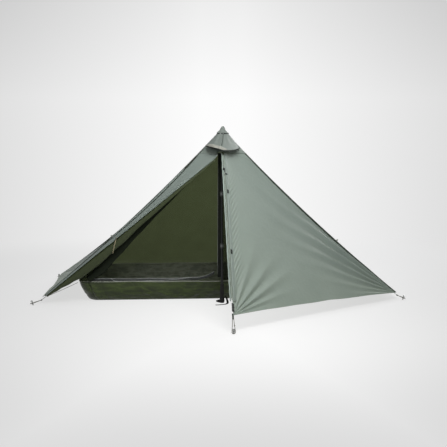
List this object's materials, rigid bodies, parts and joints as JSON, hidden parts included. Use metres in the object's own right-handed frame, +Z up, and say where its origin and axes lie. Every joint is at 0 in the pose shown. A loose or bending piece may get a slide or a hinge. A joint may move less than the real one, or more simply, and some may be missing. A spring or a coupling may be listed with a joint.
{
  "type": "pyramid tent",
  "caption": "Ultralight single-pole pyramid tent, pitched with its door rolled back over an inner tent of a waterproof tub and mesh, with a hooded peak vent.",
  "frame": {"origin": "centre of the pole's foot, on the ground", "axes": "+Z up along the pole, +X to the right of someone who faces the door, the door and its zip ridge towards -Y, the back panel towards +Y"},
  "size_m": [2.767, 2.2171, 1.4156],
  "materials": {
    "coated_nylon": "smooth coated ripstop, grey-green, faint sheen",
    "cap_nylon": "reinforced cloth, paler grey-green",
    "groundsheet": "coated groundsheet, dark olive",
    "insect_mesh": "fine black net",
    "webbing": "woven tape, dark grey",
    "black_binding": "black binding and zip tape",
    "guy_cord": "braided cord, pale grey",
    "grip_foam": "matt black foam",
    "black_tube": "black anodised",
    "alloy": "plain satin alloy",
    "black_plastic": "moulded black"
  },
  "bodies": {
    "tent": {"corner_tab_back_left": "webbing", "corner_tab_back_right": "webbing", "corner_tab_front": "webbing", "corner_tab_left": "webbing", "corner_tab_right": "webbing", "door_tie_loop": "guy_cord", "fly_back": "coated_nylon", "fly_door_panel": "coated_nylon", "fly_door_roll": "coated_nylon", "fly_front_right": "coated_nylon", "fly_left_end": "coated_nylon", "fly_right_end": "coated_nylon", "fly_zip_track": "black_binding", "front_buckle": "black_plastic", "hood_band": "black_binding", "hood_brim": "black_binding", "inner_apex_hook": "black_plastic", "inner_door_roll": "insect_mesh", "inner_elastic_back_left": "guy_cord", "inner_elastic_back_right": "guy_cord", "inner_elastic_front_left": "guy_cord", "inner_elastic_front_right": "guy_cord", "inner_mesh_back": "insect_mesh", "inner_mesh_front": "insect_mesh", "inner_mesh_left": "insect_mesh", "inner_mesh_right": "insect_mesh", "inner_zip_high": "black_binding", "inner_zip_low": "black_binding", "peak_cap": "cap_nylon", "peak_grommet": "alloy", "peg_back_left": "alloy", "peg_back_right": "alloy", "peg_front": "alloy", "peg_left": "alloy", "peg_loop_back_left": "guy_cord", "peg_loop_back_right": "guy_cord", "peg_loop_front": "guy_cord", "peg_loop_left": "guy_cord", "peg_loop_right": "guy_cord", "peg_right": "alloy", "pole_grip": "grip_foam", "pole_lock_low": "black_plastic", "pole_upper_shaft": "black_tube", "pole_wrist_strap": "webbing", "ridge_webbing": "webbing", "storm_flap": "coated_nylon", "tub_floor": "groundsheet", "tub_wall": "groundsheet", "vent_hood": "coated_nylon", "vent_mesh": "insect_mesh"},
    "pole_middle": {"pole_middle_shaft": "black_tube", "pole_lock_high": "black_plastic"},
    "pole_lower": {"pole_lower_shaft": "black_tube"},
    "lever_low": {"pole_lever_low": "black_plastic"},
    "lever_high": {"pole_lever_high": "black_plastic"},
    "fly_slider": {"fly_zip_slider": "alloy"},
    "fly_pull": {"fly_zip_pull": "alloy"},
    "inner_zip_slider": {"inner_slider": "alloy"},
    "inner_zip_pull": {"inner_pull": "alloy"},
    "prop": {"hood_prop": "black_plastic"}
  },
  "joints": [
    {"name": "pole_middle_slide", "type": "slide", "parent": "tent", "child": "pole_middle", "axis": [0, 0, -1], "range_m": [0, 0.18]},
    {"name": "pole_tip_slide", "type": "slide", "parent": "pole_middle", "child": "pole_lower", "axis": [0, 0, -1], "range_m": [0, 0.22]},
    {"name": "lever_low_hinge", "type": "hinge", "parent": "tent", "child": "lever_low", "pos_m": [-0.01351, -0.0078, 0.422], "axis": [0, 0, -1], "range_deg": [0, 100]},
    {"name": "lever_high_hinge", "type": "hinge", "parent": "pole_middle", "child": "lever_high", "pos_m": [-0.01351, -0.0078, 0.802], "axis": [0, 0, -1], "range_deg": [0, 100]},
    {"name": "fly_zip_slide", "type": "slide", "parent": "tent", "child": "fly_slider", "axis": [0, -0.6441, -0.7649], "range_m": [-0.1, 1]},
    {"name": "fly_pull_hinge", "type": "hinge", "parent": "fly_slider", "child": "fly_pull", "pos_m": [0.00127, -0.24277, 0.99661], "axis": [-0.7806, -0.4781, 0.4026], "range_deg": [0, 150]},
    {"name": "inner_zip_slide", "type": "slide", "parent": "tent", "child": "inner_zip_slider", "axis": [1, 0, 0], "range_m": [0, 0.8]},
    {"name": "inner_pull_hinge", "type": "hinge", "parent": "inner_zip_slider", "child": "inner_zip_pull", "pos_m": [-0.88, 0.0986, 0.1655], "axis": [-1, 0, 0], "range_deg": [0, 120]},
    {"name": "hood_prop_hinge", "type": "hinge", "parent": "tent", "child": "prop", "pos_m": [0, -0.1384, 1.1229], "axis": [1, 0, 0], "range_deg": [0, 45]}
  ]
}
